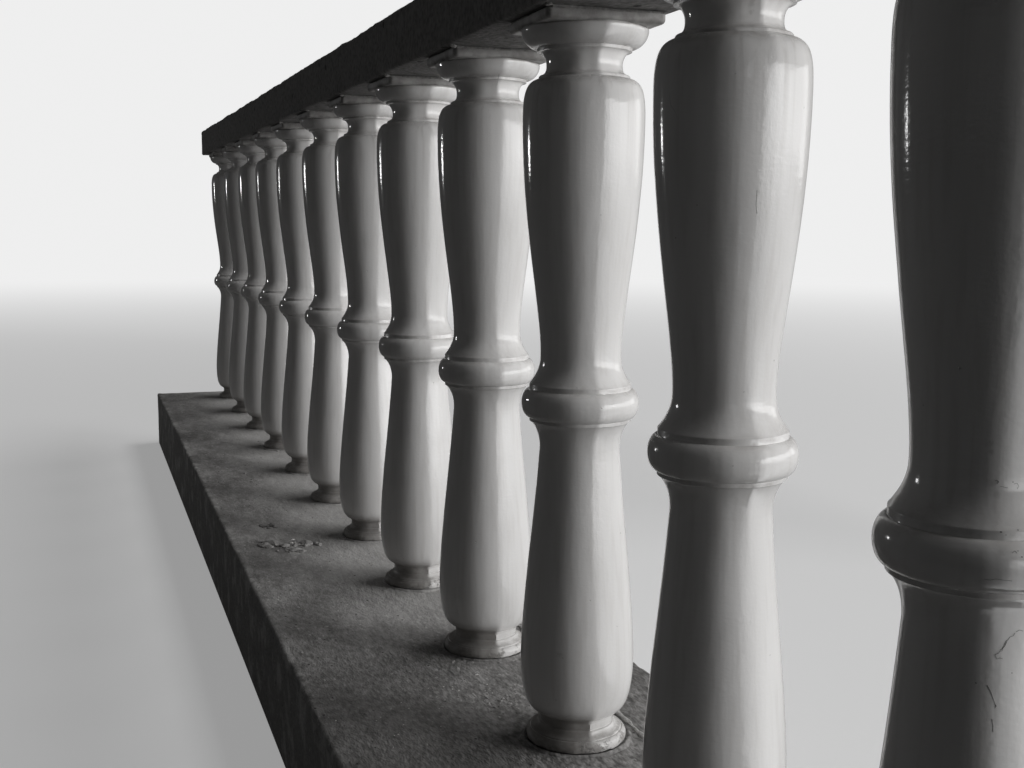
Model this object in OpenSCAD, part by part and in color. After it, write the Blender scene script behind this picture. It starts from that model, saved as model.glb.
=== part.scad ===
// A row of turned balusters under a cast rail, on a kerb.
// X runs along the row, Y across it and Z up. The origin is at the middle of the kerb's underside.

/* [Row] */
// Number of balusters in the row
baluster_count = 12; // [2:1:12]
// Distance from one baluster's axis to the next
spacing = 290; // [240:5:400]

/* [Kerb] */
// Height of the kerb
kerb_h = 150; // [80:5:250]
// Width of the kerb's walking side, from the row's axis, at the near end
kerb_side_near = 247; // [120:1:350]
// The same width at the far end, because the kerb is cast out of parallel
kerb_side_far = 217; // [120:1:350]
// Width of the kerb's other side, from the row's axis
kerb_back = 150; // [90:1:300]
// Radius of the kerb's worn upper arrises
kerb_arris_r = 6; // [1:0.5:15]

/* [Rail] */
// Width of the rail
rail_w = 137; // [128:1:220]
// Thickness of the rail
rail_h = 72; // [40:1:120]
// Radius of the rail's upper arrises
rail_top_arris_r = 9; // [1:0.5:20]
// Radius of the rail's lower arrises
rail_low_arris_r = 4; // [1:0.5:15]

/* [Mortar] */
// Thickness of the bed under a baluster's foot
foot_bed_h = 2; // [1:0.5:8]
// Height of the collar of mortar round a foot, above the kerb
collar_h = 7; // [4:0.5:12]
// Width of the collar
collar_w = 15; // [6:0.5:25]
// Gap that has opened between the foot and its collar
collar_gap = 1.6; // [0.4:0.1:3]
// Thickness of the joint between a baluster's top block and the rail
cap_joint_h = 3; // [1:0.5:10]
// Depth to which that joint is raked back behind the block's faces
cap_joint_inset = 4; // [0:0.5:12]

/* [Foot] */
// Radius of the round foot
foot_r = 51.5; // [46:0.5:60]
// Height of the foot's bull-nosed band
foot_band_h = 11; // [6:0.5:20]
// How far the band's rounded top draws in
foot_nose_w = 4.5; // [2:0.5:6]
// Width of the step on top of that band
foot_step_w = 3; // [1:0.5:6]
// Radius of the hollow neck above the foot
foot_neck_r = 39.5; // [30:0.5:44]
// Height of the hollow neck
foot_neck_h = 19; // [12:0.5:40]

/* [Lower vase] */
// Radius of the belly
belly_r = 56.6; // [50:0.2:68]
// Height of the belly's rounded under side
belly_under_h = 52; // [30:1:80]
// Height of the lower vase's taper, from its belly to its waist
lower_taper_h = 214; // [150:1:260]
// Radius of the waist below the ring
lower_waist_r = 39.5; // [30:0.1:48]
// Height of the hollow below the ring
lower_hollow_h = 27.5; // [16:0.5:40]

/* [Ring] */
// Radius of the fillets above and below the ring
fillet_r = 50; // [44:0.5:55]
// Radius of the ring
ring_r = 57.4; // [54:0.2:68]
// Height of the lower fillet
lower_fillet_h = 3.5; // [1:0.5:8]
// Height of the ring's round moulding
ring_h = 28; // [18:0.5:44]
// Height of the upper fillet
upper_fillet_h = 5; // [1:0.5:12]
// Height of the hollow above the ring
upper_hollow_h = 26; // [16:0.5:44]

/* [Upper vase] */
// Radius of the waist above the ring
upper_waist_r = 39.5; // [30:0.1:48]
// Height of the upper vase's swell, from its waist to its widest place
upper_swell_h = 228; // [160:1:280]
// Radius of the upper vase
shoulder_r = 58.5; // [50:0.2:68]
// Height of the rounded shoulder
shoulder_h = 37; // [20:0.5:60]
// Radius of the bead on top of the shoulder
shoulder_bead_r = 43.5; // [41:0.5:48]
// Height of that bead
shoulder_bead_h = 3; // [1:0.5:6]

/* [Cap] */
// Radius of the neck under the cap
neck_r = 36.2; // [28:0.2:39]
// Height of the neck, up to the cap's fillet
neck_h = 22; // [16:0.5:40]
// Radius of the cap's fillet
cap_fillet_r = 45; // [41:0.5:50]
// Height of the cap's fillet
cap_fillet_h = 3; // [1:0.5:6]
// Radius of the cap's round moulding at its top
echinus_r = 60.5; // [54:0.5:63]
// Height of the cap's round moulding
echinus_h = 18; // [8:0.5:30]
// Side of the square block on top
block_side = 117; // [112:1:126]
// Height of the square block
block_h = 9; // [6:0.5:25]
// Radius of the block's upright corners
block_corner_r = 6; // [1:0.5:10]
// Radius of the block's lower arrises
block_arris_r = 4.5; // [1:0.5:5.5]

/* [Hidden] */
// Points on each curve of an outline
curve_steps = 10;
// How far a cutter or a joined solid reaches past the surface it works on
over = 1;
// Small step that the mould leaves where one moulding meets the next
quirk = 1;
// Shares of the foot band's height at which its nose starts and ends
nose_low = 0.35;
nose_high = 0.75;
// Share of the belly's under side over which its curve spreads to the belly's width
belly_low = 0.35;
// Shares of a taper over which it leaves the belly and reaches the waist
taper_start = 0.25;
taper_end = 0.35;
// Shares of a swell over which it leaves the waist and reaches the shoulder
swell_start = 0.2;
swell_end = 0.42;
// Share of the shoulder's height over which it stays upright
shoulder_full = 0.66;

row_length = baluster_count * spacing;
kerb_top = kerb_h;
foot_z = kerb_top + foot_bed_h;
collar_r = foot_r + collar_gap;
// Height of the foot's hollow, below the upright stretch of its neck
foot_hollow_h = foot_neck_h * 3 / 4;
// Radius that the ring's curve aims at, so that its crown reaches ring_r
ring_aim_r = fillet_r + (ring_r - fillet_r) * 4 / 3;

// Heights of the outline's turning points above the baluster's own underside
z_band = foot_band_h;
z_neck_low = z_band + foot_neck_h;
z_belly = z_neck_low + belly_under_h;
z_lower_waist = z_belly + lower_taper_h;
z_lower_fillet = z_lower_waist + lower_hollow_h;
z_ring = z_lower_fillet + lower_fillet_h;
z_upper_fillet = z_ring + ring_h;
z_ogee = z_upper_fillet + upper_fillet_h;
z_upper_waist = z_ogee + upper_hollow_h;
z_shoulder = z_upper_waist + upper_swell_h;
z_bead = z_shoulder + shoulder_h;
z_neck = z_bead + shoulder_bead_h;
z_cap_fillet = z_neck + neck_h;
z_echinus = z_cap_fillet + cap_fillet_h;
z_block = z_echinus + echinus_h;
baluster_h = z_block + block_h;
rail_z = foot_z + baluster_h + cap_joint_h;

BALUSTERS = [for (i = [1:baluster_count]) str("baluster_", i < 10 ? "0" : "", i)];
FOOT_MORTAR = [for (i = [1:baluster_count]) str("foot_mortar_", i < 10 ? "0" : "", i)];
CAP_MORTAR = [for (i = [1:baluster_count]) str("cap_mortar_", i < 10 ? "0" : "", i)];

// Place along the row of baluster number i, counted from 0 at the near end
function baluster_x(i) = (i - (baluster_count - 1) / 2) * spacing;

// Points of a smooth curve from a to d, which leaves a towards b and reaches d from c
function curve(a, b, c, d) = [
    for (k = [0:curve_steps])
        let (t = k / curve_steps, u = 1 - t)
            u * u * u * a + 3 * u * u * t * b + 3 * u * t * t * c + t * t * t * d
];

// Half outline of the round foot and its neck, as [radius, height]
function foot_outline() = concat(
    [[0, 0]],
    curve([foot_r - quirk, 0], [foot_r + quirk, z_band * nose_low],
          [foot_r, z_band * nose_high], [foot_r - foot_nose_w, z_band]),
    curve([foot_r - foot_nose_w - foot_step_w, z_band + quirk], [foot_neck_r + 2 * quirk, z_band + 5 * quirk],
          [foot_neck_r, z_band + foot_hollow_h / 2], [foot_neck_r, z_band + foot_hollow_h])
);

// Half outline of the lower vase
function lower_vase_outline() = concat(
    curve([foot_neck_r + 3 * quirk, z_neck_low], [foot_neck_r + 13 * quirk, z_neck_low + quirk],
          [belly_r, z_neck_low + belly_under_h * belly_low], [belly_r, z_belly]),
    curve([belly_r, z_belly + 4 * quirk], [belly_r, z_belly + lower_taper_h * taper_start],
          [lower_waist_r + 5 * quirk, z_lower_waist - lower_taper_h * taper_end],
          [lower_waist_r, z_lower_waist]),
    curve([lower_waist_r, z_lower_waist + quirk], [lower_waist_r, z_lower_waist + lower_hollow_h / 2],
          [fillet_r - 6 * quirk, z_lower_fillet - 5 * quirk], [fillet_r - quirk, z_lower_fillet])
);

// Half outline of the ring between the vases, with its fillets
function ring_outline() = concat(
    [[fillet_r, z_lower_fillet], [fillet_r, z_ring]],
    curve([fillet_r + quirk, z_ring], [ring_aim_r, z_ring + ring_h / 8],
          [ring_aim_r, z_upper_fillet - ring_h / 8], [fillet_r + quirk, z_upper_fillet]),
    [[fillet_r, z_upper_fillet], [fillet_r, z_ogee]]
);

// Half outline of the upper vase
function upper_vase_outline() = concat(
    curve([fillet_r - quirk, z_ogee + quirk], [fillet_r - 6 * quirk, z_ogee + 8 * quirk],
          [upper_waist_r, z_upper_waist - upper_hollow_h * 0.4], [upper_waist_r, z_upper_waist]),
    curve([upper_waist_r, z_upper_waist + 4 * quirk],
          [upper_waist_r, z_upper_waist + upper_swell_h * swell_start],
          [shoulder_r, z_shoulder - upper_swell_h * swell_end], [shoulder_r, z_shoulder - 4 * quirk]),
    curve([shoulder_r, z_shoulder], [shoulder_r, z_shoulder + shoulder_h * shoulder_full],
          [shoulder_r - 3 * quirk, z_bead - 2 * quirk], [shoulder_bead_r, z_bead]),
    [[shoulder_bead_r, z_neck - quirk]]
);

// Half outline of the neck and the cap's round mouldings
function cap_outline() = concat(
    curve([shoulder_bead_r - quirk, z_neck], [neck_r + quirk, z_neck + quirk],
          [neck_r, z_neck + 5 * quirk], [neck_r, z_neck + 9 * quirk]),
    curve([neck_r, z_neck + 10 * quirk], [neck_r, z_cap_fillet - 6 * quirk],
          [neck_r + 3 * quirk, z_cap_fillet - quirk], [cap_fillet_r - 2 * quirk, z_cap_fillet]),
    [[cap_fillet_r, z_cap_fillet], [cap_fillet_r, z_echinus]],
    curve([cap_fillet_r + quirk, z_echinus], [echinus_r - 6 * quirk, z_echinus + quirk],
          [echinus_r, z_block - echinus_h / 2], [echinus_r, z_block - quirk]),
    [[echinus_r - quirk, z_block], [echinus_r - quirk, z_block + over], [0, z_block + over]]
);

// A flat bar along X, as wide as the block, with its two lower arrises rounded
module block_bar() {
    straight = block_side - 2 * block_arris_r;
    rotate([90, 0, 90])
        linear_extrude(block_side, center = true)
            union() {
                translate([-block_side / 2, block_arris_r])
                    square([block_side, block_h - block_arris_r]);
                translate([-straight / 2, 0])
                    square([straight, block_h]);
                for (side = [-1, 1])
                    translate([side * straight / 2, block_arris_r])
                        circle(r = block_arris_r, $fn = 32);
            }
}

// The square top block: an upright plan with round corners, and rounded lower arrises both ways
module square_block() {
    straight = block_side - 2 * block_corner_r;
    translate([0, 0, z_block])
        intersection() {
            linear_extrude(block_h)
                union() {
                    square([block_side, straight], center = true);
                    square([straight, block_side], center = true);
                    for (x = [-1, 1])
                        for (y = [-1, 1])
                            translate([x * straight / 2, y * straight / 2])
                                circle(r = block_corner_r, $fn = 32);
                }
            block_bar();
            rotate([0, 0, 90])
                block_bar();
        }
}

module baluster(i) {
    color("whitesmoke")
        translate([baluster_x(i), 0, foot_z])
            union() {
                rotate_extrude($fn = 96)
                    polygon(concat(foot_outline(), lower_vase_outline(), ring_outline(),
                                   upper_vase_outline(), cap_outline()));
                square_block();
            }
}

// A thin bed under the foot, with a collar round it
module foot_mortar(i) {
    collar_mid = collar_r + collar_w / 2;
    color("gray")
        translate([baluster_x(i), 0, kerb_top])
            rotate_extrude($fn = 96)
                polygon(concat(
                    [[0, 0], [collar_r + collar_w, 0]],
                    curve([collar_r + collar_w - quirk, quirk], [collar_mid + quirk, quirk],
                          [collar_mid, collar_h], [collar_r + quirk, collar_h]),
                    [[collar_r, collar_h - quirk], [collar_r, foot_bed_h], [0, foot_bed_h]]
                ));
}

module cap_mortar(i) {
    joint_side = block_side - 2 * cap_joint_inset;
    color("gray")
        translate([baluster_x(i) - joint_side / 2, -joint_side / 2, foot_z + baluster_h])
            cube([joint_side, joint_side, cap_joint_h]);
}

// A straight bar along X, with its upper edge on one side rounded
module arris_bar(length, depth, height, r) {
    translate([-length / 2, 0, 0])
        rotate([90, 0, 90])
            linear_extrude(length)
                union() {
                    translate([-depth, 0])
                        square([depth, height - r]);
                    translate([-depth, 0])
                        square([depth - r, height]);
                    translate([-r, height - r])
                        circle(r = r, $fn = 48);
                }
}

// The kerb: a block between its two ends, cut back on both sides by bars with a worn arris
module kerb() {
    taper_angle = atan((kerb_side_near - kerb_side_far) / row_length);
    side_mid = (kerb_side_near + kerb_side_far) / 2;
    reach = 2 * (kerb_side_near + kerb_side_far + kerb_back);
    color("dimgray")
        intersection() {
            translate([-row_length / 2, -kerb_back, 0])
                cube([row_length, reach, kerb_h]);
            translate([0, side_mid, 0])
                rotate([0, 0, -taper_angle])
                    arris_bar(row_length + reach, reach, kerb_h, kerb_arris_r);
            translate([0, -kerb_back, 0])
                rotate([0, 0, 180])
                    arris_bar(row_length + reach, reach, kerb_h, kerb_arris_r);
        }
}

module rail() {
    half = rail_w / 2;
    color("darkgray")
        translate([-row_length / 2, 0, rail_z])
            rotate([90, 0, 90])
                linear_extrude(row_length)
                    difference() {
                        translate([-half, 0])
                            square([rail_w, rail_h]);
                        for (side = [-1, 1]) {
                            rail_corner(side, half, rail_h, rail_top_arris_r, 1);
                            rail_corner(side, half, 0, rail_low_arris_r, -1);
                        }
                    }
}

// What a rounded arris takes off a corner of the rail's section
module rail_corner(side, half, z, r, up) {
    difference() {
        translate([side * half - (side > 0 ? r : over), z - (up > 0 ? r : over)])
            square(r + over);
        translate([side * (half - r), z - up * r])
            circle(r = r, $fn = 48);
    }
}

kerb();
rail();
for (i = [0:baluster_count - 1]) {
    baluster(i);
    foot_mortar(i);
    cap_mortar(i);
}
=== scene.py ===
# %% [markdown]
# # Dressing a balustrade
# A balustrade is a row of balusters between a kerb and a rail. These balusters were cast in moulds,
# stood in mortar on a cement kerb, tied together by a rail cast in place, and painted with gloss enamel.
# The frame already holds every solid at its real size. This lesson gives each one the surface of the
# real thing: paint that has run and cracked, sandy cement, a rough rail, and mortar that squeezed out.

# %% Load the frame and keep its box
import math
import random

import bmesh
import bpy
import numpy as np
from mathutils import Matrix, Vector


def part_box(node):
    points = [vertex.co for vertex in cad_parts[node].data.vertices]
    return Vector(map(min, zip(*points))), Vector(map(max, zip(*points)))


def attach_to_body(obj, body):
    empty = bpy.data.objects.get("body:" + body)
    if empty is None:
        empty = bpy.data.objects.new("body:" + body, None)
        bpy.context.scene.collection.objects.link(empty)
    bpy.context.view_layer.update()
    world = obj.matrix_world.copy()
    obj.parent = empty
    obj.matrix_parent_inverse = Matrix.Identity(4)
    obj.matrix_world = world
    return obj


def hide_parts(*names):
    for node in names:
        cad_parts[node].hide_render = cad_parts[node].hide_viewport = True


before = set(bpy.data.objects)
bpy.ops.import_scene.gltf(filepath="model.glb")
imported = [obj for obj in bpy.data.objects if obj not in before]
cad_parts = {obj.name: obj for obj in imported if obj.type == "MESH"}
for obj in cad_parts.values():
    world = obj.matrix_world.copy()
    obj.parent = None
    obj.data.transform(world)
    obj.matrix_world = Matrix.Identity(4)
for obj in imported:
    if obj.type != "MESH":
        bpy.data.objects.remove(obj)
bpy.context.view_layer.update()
print("the frame has", len(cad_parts), "nodes")

# %% [markdown]
# ## Sizes
# Every place is read from the frame's own boxes, so the dressed pieces can't drift from the solids.
# A row that is set out by hand is never quite even. Five of the castings stand a few millimetres off
# their marks, along the row and across it, and the small table below says how far.

# %% Read the sizes from the frame
MM = 0.001
NUMBERS = range(1, 1 + len([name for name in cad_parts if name.startswith("baluster_")]))
KERB_LOW, KERB_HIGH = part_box("kerb")
RAIL_LOW, RAIL_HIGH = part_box("rail")
KERB_TOP = KERB_HIGH.z
FOOT_Z, CAP_Z = (corner.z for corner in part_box("baluster_01"))
SOFFIT_Z = RAIL_LOW.z
SET_OFF_MM = {1: (2, 0), 2: (1.5, 0), 3: (-3, -1), 4: (-7, 0), 5: (4, 0)}


def axis_of(number):
    """The place of one baluster's axis on the kerb, with what it was set off its mark."""
    low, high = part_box(f"baluster_{number:02d}")
    along, across = SET_OFF_MM.get(number, (0, 0))
    return Vector(((low.x + high.x) / 2 + along * MM, across * MM, 0))


print("kerb top", round(KERB_TOP, 4), "balusters from", round(FOOT_Z, 4), "to", round(CAP_Z, 4))

# %% [markdown]
# ## The camera
# The photograph was taken standing close to the first baluster and looking down the row, a little
# towards it. The lens, the height and the three angles were worked out from the balusters' outlines.
# A camera looks along its own minus Z, so its three axes are built here from the angles themselves.

# %% Set up the camera
LENS_MM = 44.09
SENSOR_MM = 36
PICTURE_W, PICTURE_H = 1024, 768
KERB_EDGE_PIXEL = (330, 760)
CAMERA_PLACE = Vector((-2.1451, 0.4739, 0.668))
PITCH = math.radians(7.345)
YAW = math.radians(19.703)
ROLL = math.radians(0.352)
ahead = Vector((math.cos(PITCH) * math.cos(YAW), -math.cos(PITCH) * math.sin(YAW), -math.sin(PITCH)))
level_right = Vector((-math.sin(YAW), -math.cos(YAW), 0))
level_up = level_right.cross(ahead)
right = math.cos(ROLL) * level_right + math.sin(ROLL) * level_up
up = math.cos(ROLL) * level_up - math.sin(ROLL) * level_right

bpy.ops.object.select_all(action="DESELECT")
bpy.ops.object.camera_add(location=CAMERA_PLACE)
camera = bpy.context.object
camera.name = "row_camera"
turn = Matrix((right, up, -ahead)).transposed().to_4x4()
camera.matrix_world = Matrix.Translation(CAMERA_PLACE) @ turn
camera.data.lens = LENS_MM
camera.data.sensor_width = SENSOR_MM
camera.data.clip_end = 100
bpy.context.scene.camera = camera
FOCAL_PX = LENS_MM / SENSOR_MM * PICTURE_W


def ray_through(px, py):
    """The direction from the camera through a pixel of the picture."""
    return ahead + right * ((px - PICTURE_W / 2) / FOCAL_PX) + up * ((PICTURE_H / 2 - py) / FOCAL_PX)


def seen_on_level(px, py, z):
    """The point at height z that the camera sees at a pixel."""
    ray = ray_through(px, py)
    return CAMERA_PLACE + ray * ((z - CAMERA_PLACE.z) / ray.z)


kerb_edge = seen_on_level(*KERB_EDGE_PIXEL, KERB_TOP)
print("the camera sees the kerb's near edge at", [round(value, 3) for value in kerb_edge])

# %% [markdown]
# ## Helpers for working by hand
# An operator acts on whatever is selected, so each step first says what it works on. These short
# helpers stand for what a hand does in the viewport: pick edges by their place, draw a chain of them,
# add a modifier and apply it, join pieces, and settle a finished piece at the origin.

# %% Helpers for selecting and finishing
SHARP_ANGLE = math.radians(50)


def begin():
    """Leaves edit mode with nothing selected."""
    if bpy.context.object and bpy.context.object.mode != "OBJECT":
        bpy.ops.object.mode_set(mode="OBJECT")
    bpy.ops.object.select_all(action="DESELECT")


def work_on(piece):
    """Makes one piece the only selected and the active one."""
    begin()
    piece.select_set(True)
    bpy.context.view_layer.objects.active = piece


def pick_edges(test):
    """In edit mode, selects the edges that pass a test, and nothing else."""
    bpy.ops.mesh.select_mode(type="EDGE")
    bpy.ops.mesh.select_all(action="DESELECT")
    mesh = bpy.context.object.data
    for edge in bmesh.from_edit_mesh(mesh).edges:
        if test(edge):
            edge.select_set(True)
    bmesh.update_edit_mesh(mesh)


def round_off(radius, segments):
    """Rounds the selected edges."""
    bpy.ops.mesh.bevel(offset=radius, segments=segments, affect="EDGES")


def chain(points):
    """Draws a chain of edges by extruding one vertex from point to point, and stays in edit mode."""
    begin()
    bpy.ops.mesh.primitive_plane_add(size=MM, location=(0, 0, 0))
    bpy.ops.object.mode_set(mode="EDIT")
    bpy.ops.mesh.select_mode(type="VERT")
    bpy.ops.mesh.select_all(action="SELECT")
    bpy.ops.mesh.merge(type="CENTER")
    bpy.ops.transform.translate(value=points[0])
    for here, there in zip(points, points[1:]):
        bpy.ops.mesh.extrude_region_move(TRANSFORM_OT_translate={"value": there - here})


def ball_at(place, radius, fineness):
    """A ball of triangles at a place."""
    begin()
    bpy.ops.mesh.primitive_ico_sphere_add(subdivisions=fineness, radius=radius, location=place)
    return bpy.context.object


def box_to_edit(middle, size):
    """A box with its place and size written into its mesh, ready in edit mode."""
    begin()
    bpy.ops.mesh.primitive_cube_add(size=1, location=middle)
    box = bpy.context.object
    box.scale = size
    bpy.ops.object.transform_apply(location=True, scale=True)
    bpy.ops.object.mode_set(mode="EDIT")
    return box


def apply_modifier(piece, kind, **settings):
    """Adds a modifier with its settings and applies it."""
    work_on(piece)
    modifier = piece.modifiers.new(kind.lower(), kind)
    for name, value in settings.items():
        setattr(modifier, name, value)
    bpy.ops.object.modifier_apply(modifier=modifier.name)


def join(pieces):
    """Joins some pieces into the first one."""
    work_on(pieces[0])
    for piece in pieces[1:]:
        piece.select_set(True)
    bpy.ops.object.join()
    return pieces[0]


def settle(piece, name):
    """Names a piece and writes its place into its mesh."""
    work_on(piece)
    bpy.ops.object.transform_apply(location=True, rotation=True, scale=True)
    piece.name = name
    piece.data.name = name
    return piece


def smooth(piece, sharp=SHARP_ANGLE):
    """Shades a piece smooth, apart from edges that turn by more than an angle."""
    work_on(piece)
    bpy.ops.object.shade_smooth_by_angle(angle=sharp)


def clouds(name, size, depth=2):
    """A cloudy texture for the Displace modifier, with lumps of about that size in metres."""
    texture = bpy.data.textures.new(name, "CLOUDS")
    texture.noise_scale = size
    texture.noise_depth = depth
    return texture


def roughen(piece, texture, height, group=""):
    """Pushes a piece's surface in and out, by a height in millimetres from the lowest to the highest."""
    apply_modifier(piece, "DISPLACE", texture=texture, texture_coords="LOCAL", strength=height * MM,
                   mid_level=0.5, vertex_group=group)


def group_by(piece, name, weight):
    """A vertex group with a weight from each vertex's place."""
    group = piece.vertex_groups.new(name=name)
    for vertex in piece.data.vertices:
        group.add([vertex.index], weight(vertex.co), "REPLACE")


print("helpers are ready")

# %% [markdown]
# ## The baluster's outline
# A mould maker cuts a baluster's outline from a template: foot, lower vase, ring, upper vase and cap.
# Each moulding is one smooth curve that leaves its first point in one direction and reaches its last
# from another. Small steps between the mouldings are kept, because thick paint rounds them over later.

# %% Values of the outline, in millimetres
FOOT_R, FOOT_BAND_H, FOOT_NOSE_W = 50.7, 11, 4
FOOT_NECK_R, FOOT_NECK_H, FOOT_GROOVE_Z = 37.2, 19, 6.5
BELLY_R, BELLY_UNDER_H, LOWER_TAPER_H = 56.6, 52, 214
LOWER_WAIST_R, LOWER_HOLLOW_H = 39.5, 27.5
FILLET_R, RING_R, LOWER_FILLET_H, RING_H, UPPER_FILLET_H = 50, 57.4, 3.5, 28, 5
UPPER_HOLLOW_H, UPPER_WAIST_R, UPPER_SWELL_H = 26, 39.5, 228
SHOULDER_R, SHOULDER_H, BEAD_R, BEAD_H = 58.5, 37, 43.5, 3
NECK_R, NECK_H, CAP_FILLET_R, CAP_FILLET_H = 36.2, 22, 45, 3
ECHINUS_R, ECHINUS_H, BLOCK_SIDE, BLOCK_H = 60.5, 18, 117, 9
BLOCK_CORNER_R, BLOCK_ARRIS_R = 6, 4.5


def curve(a, b, c, d, steps):
    """Points of a smooth curve from a to d, which leaves a towards b and reaches d from c."""
    points = []
    for step in range(steps + 1):
        t = step / steps
        shares = ((1 - t)**3, 3 * (1 - t)**2 * t, 3 * (1 - t) * t**2, t**3)
        points.append([sum(share * point[axis] for share, point in zip(shares, (a, b, c, d)))
                       for axis in (0, 1)])
    return points


def foot_and_lower_vase():
    """The half outline up to the ring's lower fillet, and the height reached."""
    band = FOOT_BAND_H
    neck = band + FOOT_NECK_H
    belly = neck + BELLY_UNDER_H
    waist = belly + LOWER_TAPER_H
    fillet = waist + LOWER_HOLLOW_H
    points = [[0, 0], [FOOT_R / 2, 0]]
    points += curve([FOOT_R - 1, 0], [FOOT_R + 0.6, band * 0.35], [FOOT_R, band * 0.75],
                    [FOOT_R - FOOT_NOSE_W, band - 0.4], 10)
    points += [[FOOT_R - FOOT_NOSE_W - 1, band - 0.6]]
    points += curve([FOOT_R - FOOT_NOSE_W - 1.4, band + 0.5], [FOOT_NECK_R + 4, band + 1.5],
                    [FOOT_NECK_R + 2, band + 2.5], [FOOT_NECK_R + 0.9, band + FOOT_GROOVE_Z], 7)
    points += [[FOOT_NECK_R - 0.4, band + FOOT_GROOVE_Z + 0.6], [FOOT_NECK_R - 0.4, band + FOOT_GROOVE_Z + 2]]
    points += [[FOOT_NECK_R, band + FOOT_GROOVE_Z + 2.7], [FOOT_NECK_R, band + FOOT_NECK_H * 0.75]]
    points += curve([FOOT_NECK_R + 3, neck], [FOOT_NECK_R + 13, neck + 1],
                    [BELLY_R, neck + BELLY_UNDER_H * 0.35], [BELLY_R, belly], 18)
    points += curve([BELLY_R, belly + 4], [BELLY_R, belly + LOWER_TAPER_H * 0.25],
                    [LOWER_WAIST_R + 5, waist - LOWER_TAPER_H * 0.35], [LOWER_WAIST_R, waist], 26)
    points += curve([LOWER_WAIST_R, waist + 1], [LOWER_WAIST_R, waist + LOWER_HOLLOW_H / 2],
                    [FILLET_R - 6, fillet - 5], [FILLET_R - 1, fillet], 10)
    return points, fillet


def ring_and_upper_vase(fillet):
    """The half outline from the ring's lower fillet to the top of the cap, and the height reached."""
    ring = fillet + LOWER_FILLET_H
    ring_top = ring + RING_H
    ogee = ring_top + UPPER_FILLET_H
    waist = ogee + UPPER_HOLLOW_H
    shoulder = waist + UPPER_SWELL_H
    bead = shoulder + SHOULDER_H
    neck = bead + BEAD_H
    cap_fillet = neck + NECK_H
    echinus = cap_fillet + CAP_FILLET_H
    block = echinus + ECHINUS_H
    ring_aim_r = FILLET_R + (RING_R - FILLET_R) * 4 / 3
    points = [[FILLET_R, fillet], [FILLET_R, ring]]
    points += curve([FILLET_R + 1, ring], [ring_aim_r, ring + RING_H / 8],
                    [ring_aim_r, ring_top - RING_H / 8], [FILLET_R + 1, ring_top], 16)
    points += [[FILLET_R, ring_top], [FILLET_R, ogee]]
    points += curve([FILLET_R - 1, ogee + 1], [FILLET_R - 6, ogee + 8],
                    [UPPER_WAIST_R, waist - UPPER_HOLLOW_H * 0.4], [UPPER_WAIST_R, waist], 10)
    points += curve([UPPER_WAIST_R, waist + 4], [UPPER_WAIST_R, waist + UPPER_SWELL_H * 0.2],
                    [SHOULDER_R, shoulder - UPPER_SWELL_H * 0.42], [SHOULDER_R, shoulder - 4], 28)
    points += curve([SHOULDER_R, shoulder], [SHOULDER_R, shoulder + SHOULDER_H * 0.66],
                    [SHOULDER_R - 3, bead - 2], [BEAD_R, bead], 16)
    points += [[BEAD_R, neck - 1]]
    points += curve([BEAD_R - 1, neck], [NECK_R + 1, neck + 1], [NECK_R, neck + 5], [NECK_R, neck + 9], 6)
    points += curve([NECK_R, neck + 10], [NECK_R, cap_fillet - 6],
                    [NECK_R + 3, cap_fillet - 1], [CAP_FILLET_R - 2, cap_fillet], 8)
    points += [[CAP_FILLET_R, cap_fillet], [CAP_FILLET_R, echinus]]
    points += curve([CAP_FILLET_R + 1, echinus], [ECHINUS_R - 6, echinus + 1],
                    [ECHINUS_R, block - ECHINUS_H / 2], [ECHINUS_R, block - 1], 12)
    points += [[ECHINUS_R - 1, block], [ECHINUS_R - 1, block + 1]]
    points += [[ECHINUS_R / 2, block + 1], [0, block + 1]]
    return points, block


lower_points, fillet_z = foot_and_lower_vase()
upper_points, block_z = ring_and_upper_vase(fillet_z)
OUTLINE = lower_points + upper_points
print("outline points:", len(OUTLINE), "height under the block:", block_z, "mm")

# %% [markdown]
# ## Turning the baluster
# The template is drawn as a chain of short edges, by extruding one vertex from point to point, and
# spun once round the axis. The two ends lie on the axis, so the merged rings close there as poles.
# A narrow bevel then rounds the sharp steps as thick paint does. The mould came apart in two halves,
# which never met quite true, so a low crest runs up the casting where they met. It is plain at the foot
# and the cap, and was rubbed down on the vases. The square block on top is a box with its upright
# corners and lower arrises bevelled, joined on because it is part of the same casting.

# %% Model one baluster at the origin
SPIN_STEPS = 96
PAINT_ROUND, PAINT_ROUNDS_FROM = 0.5, math.radians(28)
SMOOTH_UP_TO = math.radians(35)
SEAM_SPREAD, SEAM_FROM_R = math.radians(20), 20
SEAM_ON_FOOT, SEAM_ON_RING, SEAM_ON_CAP, SEAM_ON_VASE = 2.3, 1.3, 2.0, 0.2
FOOT_FADE, RING_REACH, RING_FADE, CAP_FADE = 25, 20, 70, 45
FOOT_STEP_TOP = FOOT_BAND_H + FOOT_NECK_H
RING_MIDDLE = fillet_z + LOWER_FILLET_H + RING_H / 2
CAP_LOW = block_z - ECHINUS_H - CAP_FILLET_H - NECK_H - BEAD_H


def turned(outline, steps):
    """A closed round solid, spun from a half outline that starts and ends on the axis."""
    chain([Vector((radius, 0, height)) * MM for radius, height in outline])
    bpy.ops.mesh.select_all(action="SELECT")
    bpy.ops.mesh.spin(steps=steps, angle=2 * math.pi, center=(0, 0, 0), axis=(0, 0, 1))
    bpy.ops.mesh.select_all(action="SELECT")
    bpy.ops.mesh.remove_doubles(threshold=0.02 * MM)
    bpy.ops.mesh.normals_make_consistent(inside=False)
    bpy.ops.object.mode_set(mode="OBJECT")
    return bpy.context.object


def fades(past, over):
    """1 up to a place, and from there down to 0 over some length."""
    return max(0.0, 1 - max(0.0, past) / over)


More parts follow.
